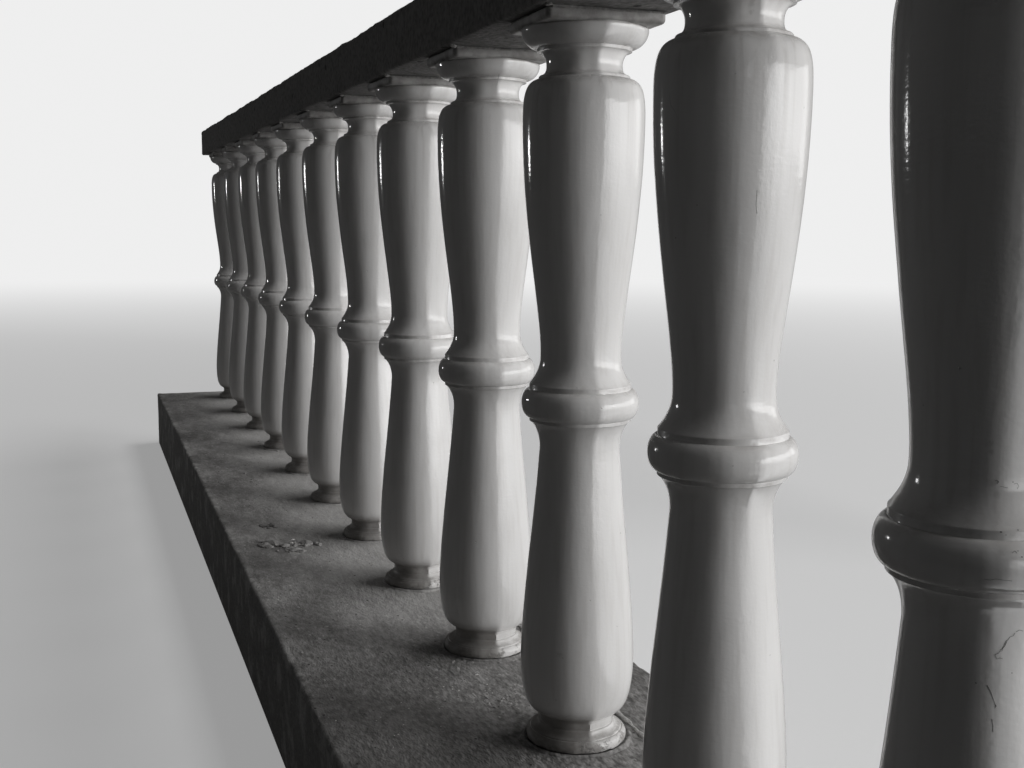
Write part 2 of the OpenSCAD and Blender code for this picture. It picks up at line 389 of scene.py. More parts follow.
def seam_height(z):
    """How high the seam's crest stands at a height on the baluster, in millimetres."""
    foot = SEAM_ON_FOOT * min(1.0, 0.4 + z / FOOT_STEP_TOP) * fades(z - FOOT_STEP_TOP, FOOT_FADE)
    ring = SEAM_ON_RING * fades(abs(z - RING_MIDDLE) - RING_REACH, RING_FADE)
    cap = SEAM_ON_CAP * fades(CAP_LOW - z, CAP_FADE)
    return max(foot, ring, cap, SEAM_ON_VASE)


def raise_seams(body):
    """Lifts a low crest along the two seams of the mould, which face along the row."""
    for vertex in body.data.vertices:
        reach = vertex.co.xy.length
        if reach < SEAM_FROM_R * MM:
            continue
        off_seam = math.atan2(abs(vertex.co.y), abs(vertex.co.x)) / SEAM_SPREAD
        if off_seam < 1:
            lift = seam_height(vertex.co.z / MM) * MM * (1 - off_seam) ** 2
            vertex.co.xy *= 1 + lift / reach


def top_block():
    """The square block, with round upright corners and rounded lower arrises."""
    block = box_to_edit((0, 0, (block_z + BLOCK_H / 2) * MM), Vector((BLOCK_SIDE, BLOCK_SIDE, BLOCK_H)) * MM)
    pick_edges(lambda e: abs(e.verts[0].co.z - e.verts[1].co.z) > MM)
    round_off(BLOCK_CORNER_R * MM, 5)
    low = (block_z + 0.1) * MM
    pick_edges(lambda e: all(v.co.z < low for v in e.verts))
    round_off(BLOCK_ARRIS_R * MM, 4)
    bpy.ops.object.mode_set(mode="OBJECT")
    return block


body = turned(OUTLINE, SPIN_STEPS)
apply_modifier(body, "BEVEL", width=PAINT_ROUND * MM, segments=2, limit_method="ANGLE",
               angle_limit=PAINT_ROUNDS_FROM, use_clamp_overlap=True)
raise_seams(body)
master = join([body, top_block()])
smooth(master, SMOOTH_UP_TO)
print("the baluster has", len(master.data.polygons), "faces")

# %% [markdown]
# ## Twelve castings from one mould
# Each copy is turned by up to 2.5 degrees, moved to its place, and pushed in and out by a few tenths of a
# millimetre, which is what makes reflections on a hand-cast surface waver. The foot gets more, because
# its edge was knocked while it stood in wet mortar. Each vertex also keeps its place from before the
# move, in an attribute, so that the paint can follow the mould seams on every copy.

# %% Copy the baluster to its places
RIPPLE, KNOCKS = 0.5, 1.7
HALF_DEGREE = math.radians(0.5)
ripple = clouds("casting_ripple", 0.045)
knocks = clouds("foot_knocks", 0.007)


def remember_mould_place(piece):
    """Stores each vertex's place in the mould."""
    places = np.zeros(len(piece.data.vertices) * 3, np.float32)
    piece.data.vertices.foreach_get("co", places)
    kept = piece.data.attributes.new("mould", "FLOAT_VECTOR", "POINT")
    kept.data.foreach_set("vector", places)


def cast_copy(number):
    """One baluster at its place in the row."""
    piece = master.copy()
    piece.data = master.data.copy()
    bpy.context.collection.objects.link(piece)
    place = axis_of(number)
    from_minus_5_to_5 = number * 37 % 11 - 5
    piece.rotation_euler.z = from_minus_5_to_5 * HALF_DEGREE
    piece.location = (place.x, place.y, FOOT_Z)
    settle(piece, f"cast_baluster_{number:02d}")
    group_by(piece, "foot", lambda co: fades(co.z - FOOT_Z, FOOT_BAND_H * MM))
    roughen(piece, ripple, RIPPLE)
    roughen(piece, knocks, KNOCKS, "foot")
    return piece


remember_mould_place(master)
balusters = {number: cast_copy(number) for number in NUMBERS}
bpy.data.objects.remove(master)
print("cast", len(balusters), "balusters")

# %% [markdown]
# ## The kerb
# The kerb is a strip of sandy cement, screeded by hand, wider towards the near end. Its top is a grid,
# fine enough to hold the hollows that the screed left. The rim is extruded down to the floor in steps,
# and the upper arris is bevelled. Slow waves, trowel marks and small losses along the arris come last.

# %% Model the kerb
KERB_CELL = 8 * MM
ARRIS_R = 4 * MM
WALL_STEPS = 9
SKIN_FROM, ARRIS_BAND_H, ARRIS_BAND_W = 20 * MM, 24 * MM, 20 * MM
SCREED_WAVES, TROWEL_MARKS, ARRIS_LOSSES = 1.6, 1.2, 8
NEAR_SIDE, FAR_SIDE = 0.247, 0.217
kerb_length = KERB_HIGH.x - KERB_LOW.x


def kerb_side(x):
    """How far the walking side's edge stands from the axis at a place along the row."""
    share = (x - KERB_LOW.x) / kerb_length
    return NEAR_SIDE + (FAR_SIDE - NEAR_SIDE) * share


def kerb_top_grid():
    """The kerb's top, tapered in plan."""
    begin()
    bpy.ops.mesh.primitive_grid_add(x_subdivisions=round(kerb_length / KERB_CELL),
                                    y_subdivisions=round((NEAR_SIDE - KERB_LOW.y) / KERB_CELL),
                                    size=1, location=(0, 0, KERB_TOP))
    grid = bpy.context.object
    for vertex in grid.data.vertices:
        x = vertex.co.x * kerb_length
        y = KERB_LOW.y + (vertex.co.y + 0.5) * (kerb_side(x) - KERB_LOW.y)
        vertex.co = (x, y, 0)
    bpy.ops.object.transform_apply(location=True)
    return grid


def kerb_piece():
    """The whole kerb, before its surface is roughened."""
    grid = kerb_top_grid()
    bpy.ops.object.mode_set(mode="EDIT")
    pick_edges(lambda e: e.is_boundary)
    step = Vector((0, 0, -KERB_TOP / WALL_STEPS))
    for _ in range(WALL_STEPS):
        bpy.ops.mesh.extrude_region_move(TRANSFORM_OT_translate={"value": step})
    bpy.ops.mesh.edge_face_add()
    top = KERB_TOP - MM
    pick_edges(lambda e: all(v.co.z > top for v in e.verts) and any(
        f.normal.z < 0.5 for f in e.link_faces))
    round_off(ARRIS_R, 3)
    bpy.ops.mesh.select_all(action="SELECT")
    bpy.ops.mesh.normals_make_consistent(inside=False)
    bpy.ops.object.mode_set(mode="OBJECT")
    return settle(grid, "kerb_cast")


def by_arris(co):
    """1 at either upper arris of the kerb, and 0 away from it."""
    to_side = min(kerb_side(co.x) - co.y, co.y - KERB_LOW.y)
    return fades(KERB_TOP - co.z, ARRIS_BAND_H) * fades(to_side, ARRIS_BAND_W)


kerb = kerb_piece()
group_by(kerb, "skin", lambda co: min(1.0, co.z / SKIN_FROM))
group_by(kerb, "arris", by_arris)
roughen(kerb, clouds("screed_waves", 0.16), SCREED_WAVES, "skin")
roughen(kerb, clouds("trowel_marks", 0.028, 3), TROWEL_MARKS, "skin")
roughen(kerb, clouds("arris_losses", 0.022, 4), ARRIS_LOSSES, "arris")
smooth(kerb)
print("the kerb has", len(kerb.data.polygons), "faces")

# %% [markdown]
# ## The rail
# The rail was cast in place in rough boards, so its faces are uneven and its upper arris wanders.
# A box is cut into cells with Subdivide, its four long arrises are bevelled, and three sizes of clouds
# push the surface about: the boards' waves, the pitted skin, and the ragged top edge.

# %% Model the rail
RAIL_CELLS = (400, 10, 5)
MOST_CUTS = 100
RAIL_TOP_R, RAIL_LOW_R = 9 * MM, 4 * MM
SOFFIT_BAND, WAVES_RISE, TOP_BAND = 6 * MM, 12 * MM, 12 * MM
BOARD_WAVES, PITTED_SKIN, RAGGED_ARRIS = 1.8, 1.2, 4


def runs_along(axis):
    """A test for edges that run along one axis."""
    def test(edge):
        direction = edge.verts[1].co - edge.verts[0].co
        return abs(direction[axis]) > 0.9 * direction.length
    return test


def cut_cells(axis, cells):
    """Cuts all edges along one axis into that many cells, in one or two passes."""
    for cuts in ([cells] if cells <= MOST_CUTS else [cells // 4, 4]):
        pick_edges(runs_along(axis))
        bpy.ops.mesh.subdivide(number_cuts=cuts - 1)


def rail_piece():
    """The rail as a box of small cells, with rounded long arrises."""
    piece = box_to_edit((RAIL_LOW + RAIL_HIGH) / 2, RAIL_HIGH - RAIL_LOW)
    for axis in (1, 2, 0):
        cut_cells(axis, RAIL_CELLS[axis])
    for z, radius in ((RAIL_HIGH.z, RAIL_TOP_R), (RAIL_LOW.z, RAIL_LOW_R)):
        pick_edges(lambda e: runs_along(0)(e) and all(
            abs(v.co.z - z) < MM / 10 and abs(abs(v.co.y) - RAIL_HIGH.y) < MM / 10 for v in e.verts))
        round_off(radius, 3)
    bpy.ops.object.mode_set(mode="OBJECT")
    return settle(piece, "rail_cast")


rail = rail_piece()
group_by(rail, "above", lambda co: min(1.0, max(0.0, (co.z - RAIL_LOW.z - SOFFIT_BAND) / WAVES_RISE)))
group_by(rail, "top_arris", lambda co: float(
    co.z > RAIL_HIGH.z - TOP_BAND and abs(co.y) > RAIL_HIGH.y - TOP_BAND))
roughen(rail, clouds("board_waves", 0.22), BOARD_WAVES, "above")
roughen(rail, clouds("pitted_skin", 0.016, 3), PITTED_SKIN)
roughen(rail, clouds("ragged_arris", 0.05, 4), RAGGED_ARRIS, "top_arris")
smooth(rail)
print("the rail has", len(rail.data.polygons), "faces")

# %% [markdown]
# ## Mortar round the feet
# Each foot stands in a thin bed, and a collar of mortar was smoothed round it with a finger. It still
# grips the foot towards the wide side of the kerb, and has shrunk away from it on the other side, which
# leaves a dark gap. The collar's section is spun like the baluster, opened on that side, and then
# roughened with lumps and with coarse sand until no two are alike.

# %% Model the foot collars
COLLAR_GAP, COLLAR_BITE, COLLAR_W, COLLAR_H, COLLAR_SUNK, BED_H = 2.8, 0.4, 6, 4, 3, 2
COLLAR_STEPS = 72
COLLAR_MOST_OPEN = math.radians(-60)
COLLAR_LEAST_H = 0.4
WANDER_SLOW, WANDER_FAST, TURNED_BY, TURN_STEP = 0.30, 0.24, 0.3, 1.7
COLLAR_LUMPS, COLLAR_SAND = 5, 3
lumps = clouds("collar_lumps", 0.03)
sand = clouds("collar_sand", 0.006, 3)


def collar_section():
    """The half outline of the bed and its collar, from the axis and back to it."""
    inner = FOOT_R + COLLAR_GAP
    outer = inner + COLLAR_W
    middle = (inner + outer) / 2
    points = [[0, BED_H], [inner / 2, BED_H], [inner, BED_H], [inner, COLLAR_H - 1]]
    points += curve([inner + 1, COLLAR_H], [middle, COLLAR_H], [middle + 1, 1], [outer - 1, 0.6], 7)
    points += [[outer, -COLLAR_SUNK], [0, -COLLAR_SUNK]]
    return points


def collar_piece(number):
    """The bed and collar under one baluster, with a gap that opens towards the back of the row."""
    piece = turned(collar_section(), COLLAR_STEPS)
    inner = (FOOT_R + COLLAR_GAP) * MM
    for vertex in piece.data.vertices:
        reach = vertex.co.xy.length
        angle = math.atan2(vertex.co.y, vertex.co.x) + TURNED_BY * math.sin(number * TURN_STEP)
        opened = (1 + math.cos(angle - COLLAR_MOST_OPEN)) / 2
        if reach > inner - MM / 10:
            wander = 1 + WANDER_SLOW * math.sin(3 * angle + number)
            wander += WANDER_FAST * math.sin(7 * angle + 2 * number)
            closed_up = (COLLAR_GAP + COLLAR_BITE) * MM * (1 - opened)
            vertex.co.xy *= (inner + (reach - inner) * wander - closed_up) / reach
        if vertex.co.z > 0 and reach > (FOOT_R + 1) * MM:
            vertex.co.z *= COLLAR_LEAST_H + (1 - COLLAR_LEAST_H) * opened
    place = axis_of(number)
    piece.location = (place.x, place.y, KERB_TOP)
    settle(piece, f"foot_collar_{number:02d}")
    lip = (FOOT_R + COLLAR_GAP + 1) * MM
    group_by(piece, "collar", lambda co: float((co.xy - place.xy).length > lip))
    roughen(piece, lumps, COLLAR_LUMPS, "collar")
    roughen(piece, sand, COLLAR_SAND, "collar")
    bpy.ops.object.shade_smooth()
    return piece


collars = {number: collar_piece(number) for number in NUMBERS}
print("collars:", len(collars), "with", len(collars[1].data.polygons), "faces each")

# %% [markdown]
# ## The ridge behind the feet
# A thin ridge of mortar runs along the kerb just behind the feet, where a batten was held while the row
# was set out. It is a long narrow box, cut into short cells, with its upper arrises bevelled. The same
# two clouds that shaped the collars are pushed harder here, until the ridge comes and goes.

# %% Model the ridge
RIDGE_Y, RIDGE_W, RIDGE_H, RIDGE_SUNK = -65, 5, 2.4, 3
RIDGE_END_GAP = 30
RIDGE_CELLS = 700
RIDGE_LUMPS, RIDGE_SAND = 8, 5


def ridge_piece():
    """The mortar ridge along the back of the row."""
    length = kerb_length - 2 * RIDGE_END_GAP * MM
    middle = ((KERB_LOW.x + KERB_HIGH.x) / 2, RIDGE_Y * MM, KERB_TOP + (RIDGE_H - RIDGE_SUNK) / 2 * MM)
    piece = box_to_edit(middle, (length, RIDGE_W * MM, (RIDGE_H + RIDGE_SUNK) * MM))
    pick_edges(lambda e: all(v.co.z > KERB_TOP for v in e.verts) and abs(
        e.verts[0].co.x - e.verts[1].co.x) > MM)
    round_off(RIDGE_W / 3 * MM, 3)
    cut_cells(0, RIDGE_CELLS)
    bpy.ops.object.mode_set(mode="OBJECT")
    settle(piece, "bed_ridge")
    roughen(piece, lumps, RIDGE_LUMPS)
    roughen(piece, sand, RIDGE_SAND)
    smooth(piece)
    return piece


ridge = ridge_piece()
print("the ridge has", len(ridge.data.polygons), "faces")

# %% [markdown]
# ## Mortar over the caps
# The rail was cast on the blocks, and what squeezed out hangs as a thin ragged joint, with a nib at
# the corner where the board leaked. The joint is a box cut fine, and the nib is a small ball. They are
# joined, and then roughened together.

# %% Model the cap joints
JOINT_INSET, JOINT_OVERLAP, JOINT_CUTS = 4, 1, 22
JOINT_LUMPS, JOINT_SAND = 5, 1.6
NIB_R, NIB_SCALE, NIB_OUT = 2.4, (1.2, 1.7, 0.8), 1
joint_lumps = clouds("joint_lumps", 0.014, 3)


def joint_piece(number):
    """The mortar between one block and the rail."""
    place = axis_of(number)
    side = (BLOCK_SIDE - 2 * JOINT_INSET) * MM
    overlap = JOINT_OVERLAP * MM
    height = SOFFIT_Z - CAP_Z + 2 * overlap
    slab = box_to_edit((place.x, place.y, CAP_Z - overlap + height / 2), (side, side, height))
    pick_edges(lambda e: not runs_along(2)(e))
    bpy.ops.mesh.subdivide(number_cuts=JOINT_CUTS)
    corner = (BLOCK_SIDE / 2 + NIB_OUT) * MM
    nib = ball_at((place.x - corner, place.y + corner, SOFFIT_Z - MM), NIB_R * MM, 3)
    nib.scale = NIB_SCALE
    settle(join([slab, nib]), f"cap_joint_{number:02d}")
    roughen(slab, joint_lumps, JOINT_LUMPS)
    roughen(slab, sand, JOINT_SAND)
    smooth(slab)
    return slab


joints = {number: joint_piece(number) for number in NUMBERS}
print("cap joints:", len(joints), "with", len(joints[1].data.polygons), "faces each")

# %% [markdown]
# ## Crumbs on the kerb
# Flakes of mortar and old paint lie where they fell: a small heap near the worn edge, a few lumps behind
# it, and fine grit in front of the third and fourth feet. Each crumb is a small ball with few faces,
# flattened, turned and roughened. Its place comes from a pixel of the photograph, so it lies on the kerb.

# %% Scatter the crumbs
random.seed(11)
# Each heap has its middle and its spread in pixels, a number of crumbs and their size in millimetres.
CEMENT_HEAPS = [(274, 545, 7, 2, 9, 9.5), (302, 544, 7, 1.6, 9, 8.5), (288, 551, 9, 1.2, 7, 6.5),
                (500, 700, 18, 8, 60, 1.7), (476, 655, 22, 5, 36, 2.0), (232, 470, 26, 14, 24, 2.4)]
# The second dark heap lies in the middle of the cement heap near the worn edge, where that heap's shadow
# falls: a painted shadow. The others are dark crumbs.
DARK_HEAPS_AND_SHADOW = [(268, 527, 5, 0.8, 9, 6.5), (292, 549, 10, 2, 8, 4.5), (490, 655, 14, 3, 16, 1.8),
              (505, 704, 16, 6, 26, 1.4)]
PALE_HEAPS = [(476, 675, 0.5, 0.3, 2, 2.6), (474, 674, 2.5, 1.2, 3, 1.0), (296, 542, 8, 1.6, 6, 3.4),
              (490, 684, 20, 7, 40, 1.0), (430, 720, 50, 20, 50, 0.7)]
SHARES_OF_SIZE = (0.6, 0.8, 1.0, 1.4)
LENGTHS, WIDTHS, HEIGHTS = (0.7, 1.5), (0.6, 1.2), (0.35, 0.7)
FREE_EDGE = 8 * MM
CRUMB_ROUGH = 0.8


def crumb(place, size):
    """One crumb, resting on the kerb."""
    piece = ball_at(place, size, 1)
    piece.scale = [random.uniform(*limits) for limits in (LENGTHS, WIDTHS, HEIGHTS)]
    piece.rotation_euler.z = random.uniform(0, math.pi)
    return piece


def scatter(name, heaps):
    """All the crumbs of one kind as one piece."""
    crumbs = []
    for px, py, wide, deep, count, size in heaps:
        for _ in range(count):
            spot = seen_on_level(random.gauss(px, wide), random.gauss(py, deep), KERB_TOP)
            if spot.y < kerb_side(spot.x) - FREE_EDGE:
                crumbs.append(crumb(spot, size * MM * random.choice(SHARES_OF_SIZE)))
    piece = settle(join(crumbs), name)
    roughen(piece, crumb_faces, CRUMB_ROUGH)
    return piece


crumb_faces = clouds("crumb_faces", 0.0016)
cement_crumbs = scatter("cement_crumbs", CEMENT_HEAPS)
dark_crumbs_and_shadow = scatter("dark_crumbs_and_shadow", DARK_HEAPS_AND_SHADOW)
pale_crumbs = scatter("pale_crumbs", PALE_HEAPS)
print("crumbs:", sum(len(made.data.polygons) for made in (cement_crumbs, dark_crumbs_and_shadow, pale_crumbs)), "faces")

# %% [markdown]
# ## Marks in the paint
# The first baluster is close enough to show single marks: a jagged hairline, a short scratch, and a
# handful of pits. Each is found by looking through a pixel of the photograph onto the paint. A hairline
# is a chain of points turned into a thin curve with a round section, half sunk, and a pit is a small
# ball, squashed along the paint's own direction. Both get the colour of the grime inside them. A smudge
# is only a place and a size, which the enamel uses further on.

# %% Draw the hairlines and the pits
HAIRLINE_R = 0.12 * MM
PIT_SCALE = (1.4, 0.8, 0.25)
# All places are pixels on a baluster of that number; the sizes of pits and smudges are radii in millimetres.
HAIRLINES = {
    1: [[(1023, 631), (1019, 630), (1016, 632)],
        [(1015, 633), (1013, 636), (1010, 637), (1008, 640), (1006, 641), (1004, 645)],
        [(1007, 641), (1005, 646), (1003, 648), (1002, 651), (1000, 651), (998, 654)],
        [(1004, 645), (1002, 649), (1000, 650)],
        [(998, 653), (995, 655), (997, 659), (1000, 658), (1003, 659)],
        [(987, 685), (991, 692), (994, 701), (996, 706), (995, 708)],
        [(1000, 486), (1004, 487), (1008, 488)],
        [(995, 481), (997, 480), (999, 482), (997, 484)],
        [(1014, 484), (1017, 483), (1019, 486), (1017, 489)],
        [(984, 579), (990, 580), (996, 579), (1003, 580), (1012, 581)],
        [(1012, 553), (1015, 551), (1017, 553)],
        [(992, 719), (993, 726), (993, 732)]],
    2: [[(757, 190), (756, 205), (757, 214)], [(735, 73), (736, 74)]],
    4: [[(502, 59), (500, 66), (499, 74), (497, 85)]]}
PITS = {1: [(1001, 532, 0.45), (1018, 530, 0.4), (1013, 482, 0.3), (976, 683, 0.4), (996, 706, 0.35),
            (1006, 535, 0.25), (1018, 551, 0.3), (1022, 557, 0.4), (1012, 673, 0.3)],
        2: [(697, 205, 0.35), (744, 392, 0.35), (770, 655, 0.3), (733, 466, 0.3)],
        3: [(556, 700, 0.4), (577, 388, 0.4), (601, 215, 0.35), (563, 658, 0.3)]}
SMUDGES = [(1, 992, 483, 3.0), (1, 996, 494, 3.4), (1, 990, 443, 3.0), (1, 991, 452, 2.2),
           (1, 1014, 634, 2.5), (1, 986, 719, 2.6), (1, 1002, 552, 4.0), (2, 752, 2, 5.0),
           (2, 751, 12, 3.0), (2, 742, 26, 4.0), (3, 560, 655, 5.0)]


def on_paint(number, px, py):
    """Where the camera sees a baluster's surface at a pixel, and which way it faces there."""
    hit, place, facing, _ = balusters[number].ray_cast(CAMERA_PLACE, ray_through(px, py).normalized())
    return (place, facing) if hit else None


def hairline(number, pixels):
    """One hairline through some pixels."""
    chain([found[0] for found in (on_paint(number, px, py) for px, py in pixels) if found])
    bpy.ops.object.mode_set(mode="OBJECT")
    bpy.ops.object.convert(target="CURVE")
    thread = bpy.context.object
    thread.data.bevel_depth = HAIRLINE_R
    thread.data.bevel_resolution = 1
    thread.data.use_fill_caps = True
    bpy.ops.object.convert(target="MESH")
    return bpy.context.object


def pit(number, px, py, radius):
    """One pit at a pixel."""
    place, facing = on_paint(number, px, py)
    ball = ball_at(place, radius * MM, 2)
    ball.scale = PIT_SCALE
    ball.rotation_euler = facing.to_track_quat("Z", "Y").to_euler()
    return ball


drawn = [hairline(number, pixels) for number, lines in HAIRLINES.items() for pixels in lines]
drawn += [pit(number, *spot) for number, spots in PITS.items() for spot in spots
          if on_paint(number, *spot[:2])]
paint_marks = settle(join(drawn), "paint_marks")
print("marks:", len(paint_marks.data.polygons), "faces")

# %% [markdown]
# ## Helpers for the finishes
# A finish is a small network of nodes. These helpers add a node to the network that was opened last, set
# what is given as a number, and link what is given as another node's output, so that each finish below
# reads from top to bottom.

# %% Helpers for node networks
opened = []


def open_network(owner, kind):
    """Opens the network of a material or a world, and returns its node of a kind."""
    owner.use_nodes = True
    opened.append(owner.node_tree)
    return owner.node_tree.nodes[kind]


def finish_named(name):
    """A new material and its shader."""
    made = bpy.data.materials.new(name)
    return made, open_network(made, "Principled BSDF")


def feed(taker, inputs):
    """Sets or links some inputs of a node."""
    for key, value in inputs.items():
        if isinstance(value, bpy.types.NodeSocket):
            opened[-1].links.new(value, taker.inputs[key])
        else:
            taker.inputs[key].default_value = value


def node(kind, inputs, output=0, **settings):
    """Adds a shader node and returns one of its outputs."""
    added = opened[-1].nodes.new("ShaderNode" + kind)
    for key, value in settings.items():
        setattr(added, key, value)
    feed(added, inputs)
    return added.outputs[output]


def noise(where, scale, detail=2.0, rough=0.5):
    """Cloudy noise from 0 to 1."""
    inputs = {"Vector": where, "Scale": scale, "Detail": detail, "Roughness": rough}
    return node("TexNoise", inputs)


def stretched(where, scale):
    """Coordinates with another scale along each axis."""
    return node("Mapping", {"Vector": where, "Scale": scale})


def between(value, low, high, to_low=0.0, to_high=1.0):
    """Maps a value that runs from low to high, held at both ends."""
    inputs = {"Value": value, "From Min": low, "From Max": high, "To Min": to_low, "To Max": to_high}
    return node("MapRange", inputs, interpolation_type="SMOOTHSTEP")


def below(value, low, high):
    """1 where a value is under low, and 0 where it is over high."""
    return between(value, low, high, 1.0, 0.0)


def maths(operation, first, *others):
    """One kind of sum over some values, from the first to the last."""
    for other in others:
        first = node("Math", {0: first, 1: other}, operation=operation)
    return first


def times(*values):
    """The product of some values."""
    return maths("MULTIPLY", *values)


def plus(*values):
    """The sum of some values."""
    return maths("ADD", *values)


def larger(*values):
    """The largest of some values."""
    return maths("MAXIMUM", *values)


def unsigned(value):
    """A value without its sign."""
    return maths("ABSOLUTE", value, 0.0)


def weighed(layers, amounts):
    """The sum of the layers that have an amount, each times its amount."""
    return plus(*[times(layers[name], amount) for name, amount in amounts.items()])


def vectors(operation, *values, output=0):
    """One kind of sum on one or two vectors."""
    return node("VectorMath", dict(enumerate(values)), output, operation=operation)


def part_of(vector, axis):
    """One part of a vector: 0 along the row, 1 across it and 2 upwards."""
    return node("SeparateXYZ", {0: vector}, axis)


def mix(factor, a, b):
    """A colour between a and b."""
    return node("Mix", {0: factor, 6: a, 7: b}, 2, data_type="RGBA")


def place_on():
    """A point's place on its piece, and in the row as well, because every piece lies at the origin."""
    return node("TexCoord", {}, 3)


def grains(where, scale, output):
    """Cells of random size: output 0 is the distance from a cell's middle, 1 its random colour."""
    return node("TexVoronoi", {"Vector": where, "Scale": scale, "Randomness": 1.0}, output)


def random_grains(where, scale):
    """A random value for each cell of that size."""
    return node("SeparateColor", {0: grains(where, scale, 1)})


def faced(axis):
    """How far a surface faces along one axis, before any bump."""
    return part_of(node("NewGeometry", {}, 1), axis)


def holes(where, scale, share, radius):
    """Scattered round holes: 1 in a hole and 0 outside, in that share of the cells."""
    chosen = between(random_grains(where, scale), 1 - share, 1 - share + 0.01)
    return times(chosen, below(grains(where, scale, 0), radius * 0.5, radius))


def bump(height):
    """The normal of a surface with a height in millimetres."""
    return node("Bump", {"Strength": 1.0, "Distance": MM, "Height": height})


def grey(value, warmth=0.0):
    """A grey, a little warmer or cooler."""
    return (value * (1 + warmth), value, value * (1 - warmth), 1)


print("node helpers are ready")

# %% [markdown]
# ## Gloss enamel
# The castings are painted in thick white enamel. It is smooth enough to mirror a narrow window as a
# sharp line, but brush marks, sand and the casting beneath make that line waver, most of all along the
# seams. It has pits where air was trapped, a few hairline cracks, grime in runs under the cap and in
# smudges, dust on what faces up, and bare cement where the foot's edge was chipped. The hollows and the
# foot are darker with grime and painted shade, the foot's side that people walk on is darker with painted
# shade, and the block under the rail is darker. Heights on the casting come from its place in the mould.

# %% Make the enamel
# Heights of the hollows that are darker with grime and painted shade, and how far it spreads, in millimetres.
HOLLOW_GRIME_AND_SHADE = [(15, 4), (30, 5), (325, 4), (358, 4), (653, 5), (678, 5), (698, 5)]
SMUDGE_FROM, SMUDGE_TO, SMUDGE_DARK, SMUDGE_UNEVEN = 0.6, 1.9, 0.8, 2
# The heights on the casting over which each kind of mark comes or goes, in metres.
CHIPPED_TO, WALKING_SIDE_SHADE_TO, FOOT_GRIME_AND_SHADE_TO, FOOT_STAIN_AND_SHADE_TO = (0.004, 0.018), (0.026, 0.046), (0.0, 0.04), (0.012, 0.034)
RUNS_FROM, RUNS_TO, BLOCK_FROM = (0.56, 0.652), (0.655, 0.66), (0.6955, 0.698)
# For each layer over the paint: how much it covers, its grey and that grey's warmth.
# The grime layer is grime in runs and smudges, and painted shade in the hollows and at the foot.
COVERS = {"stains": (1, 0.60, 0.03), "dust": (0.55, 0.34, 0.05), "grime": (0.6, 0.30, 0.05),
          "walking_side_shade": (1, 0.26, 0.05), "pits": (0.4, 0.22, 0.05), "cracks": (0.6, 0.12, 0.05),
          "darker_block": (1, 0.17, 0.04)}
PALE_PAINT, PALEST_PAINT = grey(0.70, 0.015), grey(0.80, 0.012)
DARK_CHIP, PALE_CHIP = grey(0.16, 0.04), grey(0.42, 0.04)
ROUGHER = {"brushing": 1, "dust": 0.4, "grime": 0.35, "chips": 0.6, "block": 0.5, "walking_side_shade": 0.4}
RELIEF_MM = {"swells": 0.14, "scrapes": 0.16, "streaks": 0.11, "brushed": 0.22, "peel": 0.10, "grit": 0.035,
             "rough_foot": 0.5, "pits": -0.35, "chips": -0.5}
ENAMEL_IOR = 1.52
# The scale, detail and roughness of each kind of noise, or its scale along each axis where it is drawn out.
PATCHES, SWELLS, GRIT, RAGGED = (45.0, 4.0, 0.6), (55.0, 4.0, 0.6), (420.0, 3.0, 0.7), (260.0, 4.0, 0.7)
STREAKS, SCRAPES, BRUSHED, PEEL = (150, 150, 4), (240, 240, 110), (70, 70, 3), (180, 180, 320)
CRACK_SCALE, CRACK_W, WANDER_SCALE, WANDER_BY = 22.0, (0.001, 0.005), 60.0, 0.012


def smudged(where):
    """Grime where single smudges are, with uneven edges."""
    uneven = noise(where, *RAGGED)
    grime = 0.0
    for number, px, py, radius in SMUDGES:
        reach = radius * MM
        away = vectors("DISTANCE", where, on_paint(number, px, py)[0], output=1)
        away = plus(away, times(uneven, SMUDGE_UNEVEN * reach))
        smudge = between(away, SMUDGE_FROM * reach, SMUDGE_TO * reach, SMUDGE_DARK, 0.0)
        grime = larger(grime, smudge)
    return grime


def cracked(where):
    """Hairline cracks that wander, in a few patches."""
    wander = node("TexNoise", {"Vector": where, "Scale": WANDER_SCALE, "Detail": 1.0}, 1)
    wander = node("VectorMath", {0: wander, "Scale": WANDER_BY}, operation="SCALE")
    crazed = {"Vector": vectors("ADD", where, wander), "Scale": CRACK_SCALE}
    to_crack = node("TexVoronoi", crazed, feature="DISTANCE_TO_EDGE")
    in_patches = between(noise(where, 9.0), 0.74, 0.79)
    return times(below(to_crack, *CRACK_W), in_patches)


def beside_seam(mould):
    """1 beside a seam of the mould, and 0 away from it."""
    off_seam = part_of(vectors("NORMALIZE", stretched(mould, (1, 1, 0))), 1)
    return below(unsigned(off_seam), 0.06, 0.30)


def grime_and_shade_on(where, height, patches, streaks):
    """Painted shade and grime on the foot and in the hollows, grime in runs under the cap, and in single
    smudges.
    """
    grime = below(height, *FOOT_GRIME_AND_SHADE_TO)
    for hollow, spread in HOLLOW_GRIME_AND_SHADE:
        off_hollow = unsigned(plus(height, -hollow * MM))
        grime = larger(grime, below(off_hollow, 0.0, spread * MM))
    grime = times(grime, between(patches, 0.38, 0.72))
    runs = times(between(height, *RUNS_FROM), below(height, *RUNS_TO), between(streaks, 0.45, 0.75, 0.0, 0.3))
    return larger(grime, runs, between(height, *FOOT_STAIN_AND_SHADE_TO, 0.25, 0.0), smudged(where))


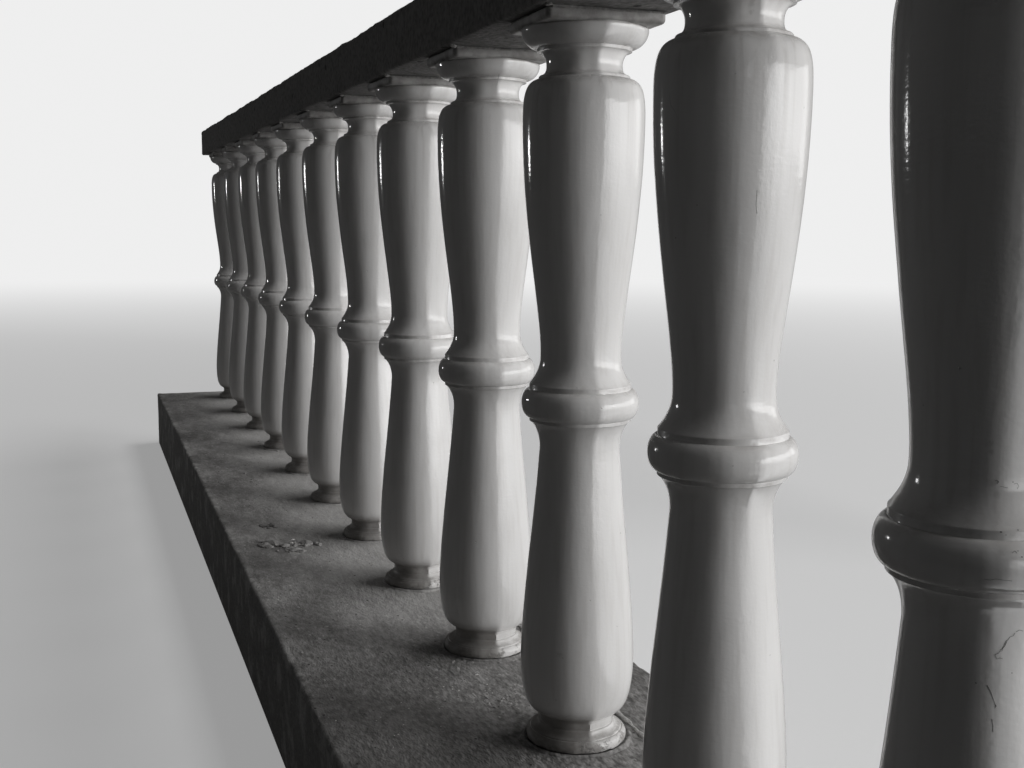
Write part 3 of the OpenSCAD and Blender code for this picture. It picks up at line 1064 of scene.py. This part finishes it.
def enamel_layers(where):
    """All that lies in or on the enamel, by name."""
    mould = node("Attribute", {}, 1, attribute_name="mould")
    height = part_of(mould, 2)
    patches = noise(where, *PATCHES)
    streaks = noise(stretched(where, STREAKS), 1.0, 3.0)
    grit = noise(where, *GRIT)
    low_down = below(height, *CHIPPED_TO)
    block = between(height, *BLOCK_FROM)
    across_seam = noise(stretched(where, SCRAPES), 1.0, 4.0, 0.6)
    return {
        "streaks": streaks,
        "grit": grit,
        "block": block,
        "stains": between(streaks, 0.45, 0.75, 0.0, 0.4),
        "brushing": between(streaks, 0.3, 0.8, 0.07, 0.16),
        "dust": times(between(faced(2), 0.25, 0.9), between(noise(where, 40.0), 0.3, 0.7)),
        # Grime and painted shade: darker in the hollows and at the foot as shade, with grime in runs and
        # smudges.
        "grime": grime_and_shade_on(where, height, patches, streaks),
        # Painted shade: the foot is darker on the side that faces away from the lamps, where people walk.
        "walking_side_shade": times(below(height, *WALKING_SIDE_SHADE_TO), between(faced(1), -0.25, 0.35),
                          between(patches, 0.2, 0.6, 0.7, 1.0)),
        "pits": holes(where, 130.0, 0.03, 0.12),
        "cracks": cracked(where),
        # The block under the rail is darker.
        "darker_block": times(block, between(patches, 0.3, 0.7, 0.6, 0.95)),
        "chips": times(low_down, between(noise(where, 75.0, 6.0, 0.8), 0.50, 0.55)),
        "rough_foot": times(grit, low_down),
        "swells": noise(where, *SWELLS),
        "scrapes": times(across_seam, beside_seam(mould)),
        "brushed": noise(stretched(where, BRUSHED), 1.0, 2.0),
        "peel": noise(stretched(where, PEEL), 1.0, 1.0)}


def enamel():
    """The balusters' paint."""
    made, shader = finish_named("white_enamel")
    where = place_on()
    layers = enamel_layers(where)
    paint = mix(noise(where, 9.0, 3.0), PALE_PAINT, PALEST_PAINT)
    for name, (cover, value, warmth) in COVERS.items():
        paint = mix(times(layers[name], cover), paint, grey(value, warmth))
    paint = mix(layers["chips"], paint, mix(layers["grit"], DARK_CHIP, PALE_CHIP))
    feed(shader, {"Base Color": paint, "Roughness": weighed(layers, ROUGHER), "IOR": ENAMEL_IOR,
                  "Normal": bump(weighed(layers, RELIEF_MM))})
    return made


enamel_finish = enamel()
print("enamel nodes:", len(enamel_finish.node_tree.nodes))

# %% [markdown]
# ## Cement, concrete and mortar
# All of these are sand in cement, so one recipe serves them with other values: large stains, cloudy
# patches, fine grains and coarser lumps that are lighter or darker, a few grains that are nearly white,
# and pinholes. The bump has the same grains and holes, so light and shade agree with the colour.
# Upright faces were cast against boards, so they are plainer. On top of the kerb shoes have worn the
# near end down to its coarse sand, and the walking edge is pale in patches. The near end is darker away
# from the row, which is painted shade, and past it a strip beside the feet is paler, which is painted light.

# %% Make the cement finishes
GRAVEL_SHARE, GRAVEL_HEIGHT = 0.5, 6
KERB_DRAWN_OUT = (0.5, 1, 1)
LEAST_WORN, OTHERS_WORN = 0.28, 0.6
STAINS_COUNT, MOTTLES_COUNT = 0.45, 0.55
# The scale, detail and roughness of each kind of noise.
STAINS, MOTTLES, LUMPS = (9.0, 5.0, 0.65), (42.0, 5.0, 0.7), (60.0, 5.0, 0.65)
EDGE_WEAR, SHADE_PATCHES = (24.0, 4.0, 0.6), (14.0, 3.0, 0.6)
DARKER, PALER, PALEST = 0.6, 1.3, 0.8
HOLE_R, HOLE_GREY, HOLE_DEPTH = 0.3, 0.4, 1.2
EDGE_GREY, LIT_STRIP_GREY, SHADE_GREY = 1.2, 1.35, 0.64
QUARTZ_GREY = grey(0.6, 0.02)
CEMENT_ROUGH, CEMENT_SHINE = 0.93, 0.3
EDGE_OUT, EDGE_IN = 3 * MM, 16 * MM
# The places along the row and across it over which each kind of wear comes or goes, in metres.
WORN_END, SHADED_END, LIT_STRIP_PAST = (-1.2, -0.3), (-1.2, -0.4), (-0.85, -0.4)
BESIDE_FEET, OFF_ROW = (0.05, 0.17), (0.03, 0.13)


def sandy(where, dark, light, grain_scale, quartz, worn):
    """The colour of cement with its sand showing; quartz says how strongly the pale grains stand out."""
    darker = grey(dark * DARKER, 0.03)
    paler = grey(min(PALEST, light * PALER), 0.02)
    stains = times(noise(where, *STAINS), STAINS_COUNT)
    mottles = times(noise(where, *MOTTLES), MOTTLES_COUNT)
    plainer = between(unsigned(faced(2)), 0.3, 0.8, 0.25, 1.0)
    mottled = times(plus(between(plus(stains, mottles), 0.30, 0.70), -0.5), plainer)
    grain = random_grains(where, grain_scale)
    gravel = noise(where, grain_scale * GRAVEL_SHARE, 1.0)
    colour = mix(plus(mottled, 0.5), grey(dark, 0.03), grey(light, 0.02))
    colour = mix(between(grain, 0.0, 0.5, 0.08, 0.0), colour, darker)
    colour = mix(between(grain, 0.6, 1.0, 0.0, 0.08), colour, paler)
    colour = mix(times(between(gravel, 0.30, 0.5, 0.7, 0.0), worn), colour, darker)
    colour = mix(times(between(gravel, 0.5, 0.70, 0.0, 0.5), worn), colour, paler)
    return mix(between(grain, 0.985, 0.995, 0.0, quartz), colour, QUARTZ_GREY)


def sandy_relief(where, grain_scale, grain_height, lump_height, worn):
    """The height of sandy cement, in millimetres."""
    domes = times(grains(where, grain_scale, 0), -grain_height)
    gravel = noise(where, grain_scale * GRAVEL_SHARE, 1.0)
    stones = times(gravel, grain_height * GRAVEL_HEIGHT, worn)
    return plus(domes, stones, times(noise(where, *LUMPS), lump_height))


def on_top():
    """1 on faces that look up, and 0 on upright ones."""
    return between(faced(2), 0.3, 0.8)


def worn_top(where):
    """How far the coarse sand stands out: most on top of the near end, where shoes wore the skin off."""
    near_end = between(part_of(where, 0), *WORN_END, 0.7, 0.0)
    return plus(times(near_end, on_top()), LEAST_WORN)


def worn_edge(where):
    """Pale patches along the kerb's walking edge, where shoes have worn the skin off."""
    taper = times(part_of(where, 0), (NEAR_SIDE - FAR_SIDE) / kerb_length)
    edge = (NEAR_SIDE + FAR_SIDE) / 2
    near_edge = between(plus(part_of(where, 1), taper), edge - EDGE_IN, edge - EDGE_OUT)
    return times(near_edge, between(noise(where, *EDGE_WEAR), 0.48, 0.66))


def painted_light_beside_feet(where):
    """Painted light: a paler strip beside the feet, past the near end."""
    beside = between(unsigned(part_of(where, 1)), *BESIDE_FEET, 0.5, 0.0)
    return times(beside, on_top(), between(part_of(where, 0), *LIT_STRIP_PAST))


def painted_shade_at_near_end(where):
    """Painted shade: the near end of the kerb's top is darker, away from the row."""
    near_end = between(part_of(where, 0), *SHADED_END, 0.95, 0.0)
    off_row = between(part_of(where, 1), *OFF_ROW, 0.3, 1.0)
    uneven_shade = between(noise(where, *SHADE_PATCHES), 0.2, 0.7, 1.0, 0.75)
    return times(near_end, off_row, uneven_shade, on_top())


def cement_finish(name, dark, light, grain_scale, grain_height, lump_height, hole_share, hole_scale, quartz):
    """Rough cement with holes in it; only the kerb's top was worn by shoes."""
    made, shader = finish_named(name)
    where = place_on()
    drawn_out, worn = where, OTHERS_WORN
    if name == "kerb_cement":
        drawn_out, worn = stretched(where, KERB_DRAWN_OUT), worn_top(where)
    colour = sandy(drawn_out, dark, light, grain_scale, quartz, worn)
    if name == "kerb_cement":
        colour = mix(worn_edge(where), colour, grey(light * EDGE_GREY, 0.02))
        # Painted light: paler beside the feet.
        colour = mix(painted_light_beside_feet(where), colour, grey(light * LIT_STRIP_GREY, 0.02))
        # Painted shade at the near end.
        colour = mix(painted_shade_at_near_end(where), colour, grey(dark * SHADE_GREY, 0.03))
    pits = holes(where, hole_scale, hole_share, HOLE_R)
    colour = mix(pits, colour, grey(dark * HOLE_GREY, 0.03))
    relief = sandy_relief(drawn_out, grain_scale, grain_height, lump_height, worn)
    feed(shader, {"Base Color": colour, "Roughness": CEMENT_ROUGH, "Specular IOR Level": CEMENT_SHINE,
                  "Normal": bump(plus(relief, times(pits, -HOLE_DEPTH)))})
    return made


kerb_finish = cement_finish("kerb_cement", 0.15, 0.38, 420.0, 0.22, 2.4, 0.03, 160.0, 0.5)
rail_finish = cement_finish("rail_concrete", 0.13, 0.27, 300.0, 0.3, 1.3, 0.12, 55.0, 0.05)
mortar_finish = cement_finish("lime_mortar", 0.28, 0.50, 500.0, 0.3, 1.6, 0.03, 90.0, 0.3)
crumb_finish = cement_finish("paint_crumbs", 0.50, 0.72, 900.0, 0.3, 0.5, 0.02, 300.0, 0.3)
grime_finish = cement_finish("grime", 0.10, 0.22, 1500.0, 0.1, 0.3, 0.02, 300.0, 0.0)
print("cement finishes:", kerb_finish.name, rail_finish.name, mortar_finish.name)

# %% [markdown]
# ## Handing the pieces to the frame
# Each piece gets its finish, rides on the one fixed body, and stands for the solid that it replaces.
# The crumbs, the ridge and the marks in the paint replace nothing, because no solid stands for them.

# %% Attach every piece
def attach(piece, finish, slot, *nodes):
    """Gives a piece its finish and its place in the frame."""
    piece.data.materials.clear()
    piece.data.materials.append(finish)
    piece.vertex_groups.clear()
    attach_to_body(piece, "root")
    if nodes:
        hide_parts(*nodes)


attach(kerb, kerb_finish, "kerb_cement", "kerb")
attach(rail, rail_finish, "rail_concrete", "rail")
attach(cement_crumbs, kerb_finish, "kerb_cement")
attach(dark_crumbs_and_shadow, rail_finish, "kerb_cement")
attach(pale_crumbs, crumb_finish, "mortar")
attach(paint_marks, grime_finish, "baluster_gloss")
attach(ridge, mortar_finish, "mortar")
for number in NUMBERS:
    attach(balusters[number], enamel_finish, "baluster_gloss", f"baluster_{number:02d}")
    attach(collars[number], kerb_finish, "mortar", f"foot_mortar_{number:02d}")
    attach(joints[number], mortar_finish, "mortar", f"cap_mortar_{number:02d}")
pieces = [kerb, rail, cement_crumbs, dark_crumbs_and_shadow, pale_crumbs, paint_marks, ridge]
pieces += [*balusters.values(), *collars.values(), *joints.values()]
print("pieces attached:", len(pieces))

# %% [markdown]
# ## The studio
# The light is soft and plain. Two large panels stand on the side of the row that faces away from the
# camera. The high one rakes across the kerb, and the low one, nearer the camera, rounds the vases. A dark
# card keeps the low one off the far end. Neither panel is mirrored in the paint, which mirrors a pale
# room instead: dark towards the shaded side and above, dim past the far end, and with a bright part
# and a window. The floor glows the same way in mirrored rays, because most of them end on it. A narrow
# panel far down the shaded side gives the paint a thin bright line: enamel shows what it is only when
# it has such a shape to mirror. The floor throws light up on the lit side only, and fades with distance.

# %% Light the studio
scene = bpy.context.scene
scene.view_settings.view_transform = "Standard"
# How bright the room is to the camera, how much it lights, and what its darker parts keep.
ROOM_SEEN, ROOM_FILL = 0.86, 0.032
UNLIT_SIDE, DARK_CORNER = 0.06, 0.15
CEILING_RISE, CEILING_BLUR = math.sin(math.radians(11)), 0.01
BRIGHT_HEADING, BRIGHT_SEEN, BRIGHT_CONE = math.radians(-158), 3.2, (0.45, 0.97)
WINDOW_HEADING, WINDOW_SEEN, WINDOW_CONE = math.radians(-112), 2.0, (0.70, 0.80)
UNLIT_BLEND, CORNER_BLEND, BRIGHT_BLEND = (-0.5, 0.3), (-0.4, 0.3), (0.0, 0.25)
# The floor's shade to the camera, what it throws up, and where it fades into the room.
FLOOR_SIZE, FLOOR_SEEN, FLOOR_GLOW = 60, 0.55, 0.30
LIT_BOUNCE, UNLIT_BOUNCE, NEAR_END_BOUNCE = 0.90, 0.08, 0.25
FADE, MIRRORED_BLEND = (2.0, 13.0), (-1.0, 1.0)
BOUNCE_ACROSS, BOUNCE_ALONG = (-1.3, 0.0), (-3.5, -1.5)
MIRRORED_FLOOR, MIRROR_FADE_TO, MIRROR_CENTRE = 0.45, 3.5, (-1.2, 0, 0)
# For the two large panels: heading and rise in degrees, distance, width and height, and watts.
HIGH_PANEL = (-95, 60, 9.0, (15.0, 5.0), 1250)
LOW_PANEL = (-129, 8, 14.0, (5.3, 3.7), 1340)
NARROW_PLACE, NARROW_AIM, NARROW_SIZE, NARROW_WATTS = (4.0, 3.0, 0.85), (-1.2, 0, 0.6), (0.12, 0.38), 8
ROW_MIDDLE = (0, 0, 0.5)
CARD_EDGE_X, CARD_Y, CARD_LOW, CARD_W, CARD_H, CARD_GREY = -0.48, -1.6, 0.12, 4.0, 1.4, grey(0.02)


def lamp(name, place, aim, size, watts):
    """A soft rectangular lamp, turned towards a point."""
    begin()
    bpy.ops.object.light_add(type="AREA", location=place)
    made = bpy.context.object
    made.name = name
    made.data.shape = "RECTANGLE"
    made.data.size, made.data.size_y = size
    made.data.energy = watts
    made.rotation_euler = (Vector(aim) - Vector(place)).to_track_quat("-Z", "Y").to_euler()
    return made


def large_panel(name, heading, rise, distance, size, watts):
    """A lamp far off that lights the whole row and isn't mirrored."""
    level = Vector((math.cos(math.radians(heading)), math.sin(math.radians(heading)), 0)) * distance
    place = level + Vector((0, 0, KERB_TOP + distance * math.tan(math.radians(rise))))
    made = lamp(name, place, ROW_MIDDLE, size, watts)
    made.visible_glossy = False
    return made


def by_ray(seen, unseen, mirrored):
    """One value for camera rays, a multiple of it for mirrored rays, and another value for the rest."""
    path = opened[-1].nodes.new("ShaderNodeLightPath")
    bent = larger(path.outputs["Is Glossy Ray"], path.outputs["Is Transmission Ray"])
    rays = larger(path.outputs["Is Camera Ray"], times(bent, mirrored))
    return node("MapRange", {"Value": rays, "To Min": unseen, "To Max": seen}, clamp=False)


def towards(direction, heading):
    """How far a direction points towards a level heading: 1 when it points straight there."""
    way = (math.cos(heading), math.sin(heading), 0)
    return vectors("DOT_PRODUCT", direction, way, output=1)


def mirrored_room(direction, brighter):
    """What the paint mirrors in a direction, as a share of the pale room."""
    across = part_of(direction, 1)
    pale = times(between(across, *UNLIT_BLEND, 1.0, UNLIT_SIDE),
                 between(part_of(direction, 0), *CORNER_BLEND, 1.0, DARK_CORNER))
    bright = between(towards(direction, BRIGHT_HEADING), *BRIGHT_CONE, 0.0, BRIGHT_SEEN)
    return plus(pale, times(bright, below(across, *BRIGHT_BLEND), brighter))


def room():
    """The world: pale to the camera, with darker and brighter parts to the paint, and a gentle fill."""
    world = bpy.data.worlds.new("studio_room")
    scene.world = world
    back = open_network(world, "Background")
    direction = node("TexCoord", {})
    under_ceiling = between(part_of(direction, 2), CEILING_RISE - CEILING_BLUR,
                            CEILING_RISE + CEILING_BLUR, 1.0, UNLIT_SIDE)
    window = between(towards(direction, WINDOW_HEADING), *WINDOW_CONE, 0.0, WINDOW_SEEN)
    mirrored = times(plus(mirrored_room(direction, 1.0), window), under_ceiling)
    feed(back, {"Color": grey(1), "Strength": by_ray(ROOM_SEEN, ROOM_FILL, mirrored)})


def studio_floor():
    """A level floor that fades into the room, and lights the row only from its lit side."""
    begin()
    bpy.ops.mesh.primitive_plane_add(size=FLOOR_SIZE, location=(0, 0, 0))
    ground = bpy.context.object
    ground.name = "studio_floor"
    made, shader = finish_named("floor_paint")
    where = place_on()
    across = part_of(where, 1)
    away = vectors("LENGTH", where, output=1)
    bounce = times(between(across, *BOUNCE_ACROSS, LIT_BOUNCE, UNLIT_BOUNCE),
                   between(part_of(where, 0), *BOUNCE_ALONG, NEAR_END_BOUNCE, 1.0))
    shade = between(away, *FADE, FLOOR_SEEN, 0.0)
    mirrored = between(across, *MIRRORED_BLEND, MIRRORED_FLOOR, UNLIT_SIDE)
    glow = between(away, *FADE, FLOOR_GLOW, ROOM_SEEN)
    direction = vectors("NORMALIZE", vectors("SUBTRACT", where, MIRROR_CENTRE))
    brighter = between(away, 0.0, MIRROR_FADE_TO, ROOM_SEEN / FLOOR_GLOW, 1.0)
    glow = by_ray(glow, 0.0, mirrored_room(direction, brighter))
    feed(shader, {"Base Color": by_ray(shade, bounce, mirrored), "Roughness": 1.0, "Specular IOR Level": 0.0,
                  "Emission Color": grey(1), "Emission Strength": glow})
    made.cycles.emission_sampling = "NONE"
    ground.data.materials.append(made)


def shading_card():
    """A dark card that keeps the low panel's light off the far end; only shadows know of it."""
    begin()
    middle = (CARD_EDGE_X + CARD_W / 2, CARD_Y, CARD_LOW + CARD_H / 2)
    bpy.ops.mesh.primitive_plane_add(size=1, location=middle, rotation=(math.pi / 2, 0, 0))
    card = bpy.context.object
    card.name = "shading_card"
    card.scale = (CARD_W, CARD_H, 1)
    made, shader = finish_named("card_black")
    feed(shader, {"Base Color": CARD_GREY})
    card.data.materials.append(made)
    for rays in ("camera", "diffuse", "glossy", "transmission"):
        setattr(card, "visible_" + rays, False)
    return card


high_panel = large_panel("high_panel", *HIGH_PANEL)
large_panel("low_panel", *LOW_PANEL)
lamp("narrow_panel", NARROW_PLACE, NARROW_AIM, NARROW_SIZE, NARROW_WATTS)
let_past = bpy.data.collections.new("cards_the_high_panel_ignores")
let_past.objects.link(shading_card())
let_past.collection_objects[0].light_linking.link_state = "EXCLUDE"
high_panel.light_linking.blocker_collection = let_past
room()
studio_floor()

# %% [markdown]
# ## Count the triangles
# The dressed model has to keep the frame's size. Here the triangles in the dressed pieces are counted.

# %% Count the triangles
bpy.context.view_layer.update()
triangles = sum(len(face.vertices) - 2 for piece in pieces for face in piece.data.polygons)
print("triangles in the dressed pieces:", triangles)
